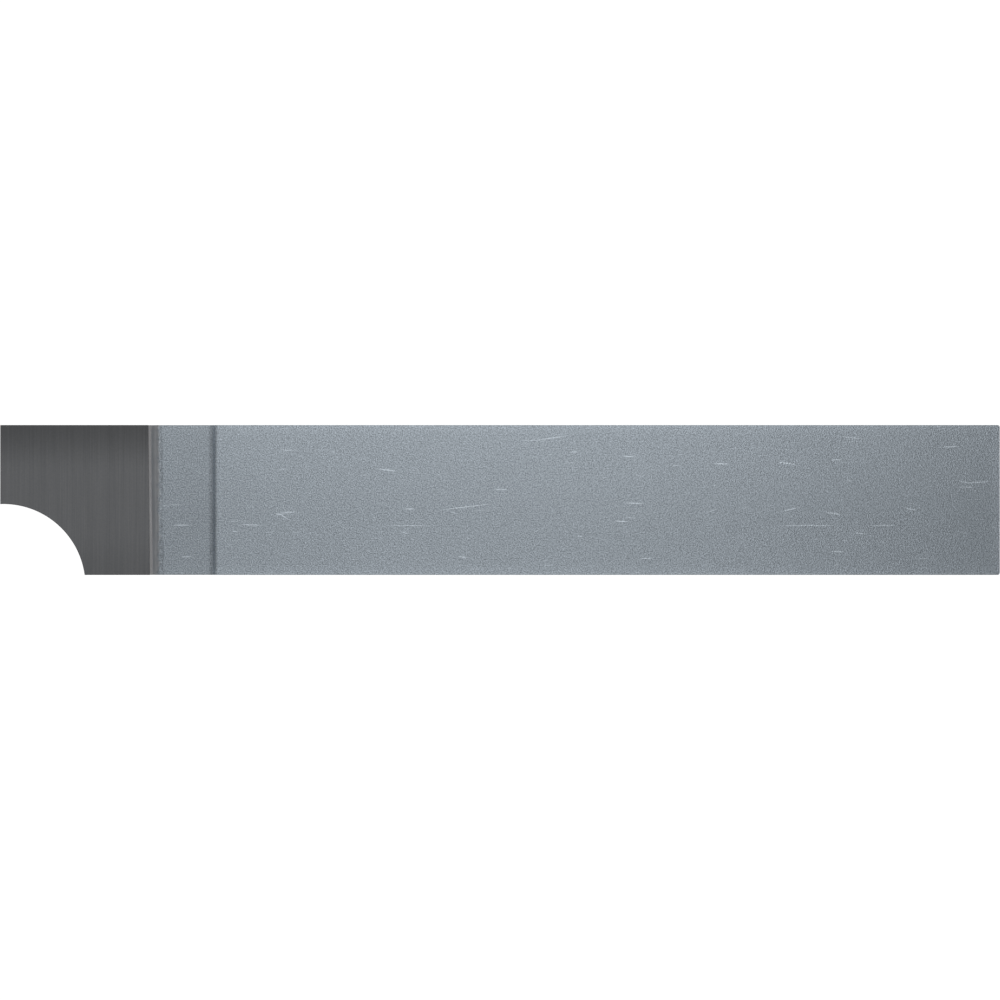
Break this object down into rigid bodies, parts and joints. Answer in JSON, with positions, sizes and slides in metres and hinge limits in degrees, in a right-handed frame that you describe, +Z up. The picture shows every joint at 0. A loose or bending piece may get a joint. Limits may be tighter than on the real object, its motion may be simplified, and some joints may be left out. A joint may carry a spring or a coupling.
{
  "type": "radius tool bit",
  "caption": "Square-shank lathe tool bit, right hand, with a brazed carbide tip whose front corner is ground to a relieved concave radius for rounding outside corners.",
  "frame": {"origin": "middle of the whole tool's underside, halfway along its length and across its width", "axes": "+X from the cutting end to the rear end, +Y from the concave radius's side to the plain side, +Z up to the tip's ground top"},
  "size_m": [0.0635, 0.0096, 0.0095],
  "materials": {
    "blasted_steel": "fine blasted grey steel, lightly scratched, with ground faces under the tip",
    "ground_carbide": "dark grey tungsten carbide with fine grinding lines across the tool",
    "silver_braze": "smooth dull silver braze with a ground crest"
  },
  "bodies": {
    "root": {"shank": "blasted_steel", "carbide_tip": "ground_carbide", "braze_joint": "silver_braze"}
  },
  "joints": []
}
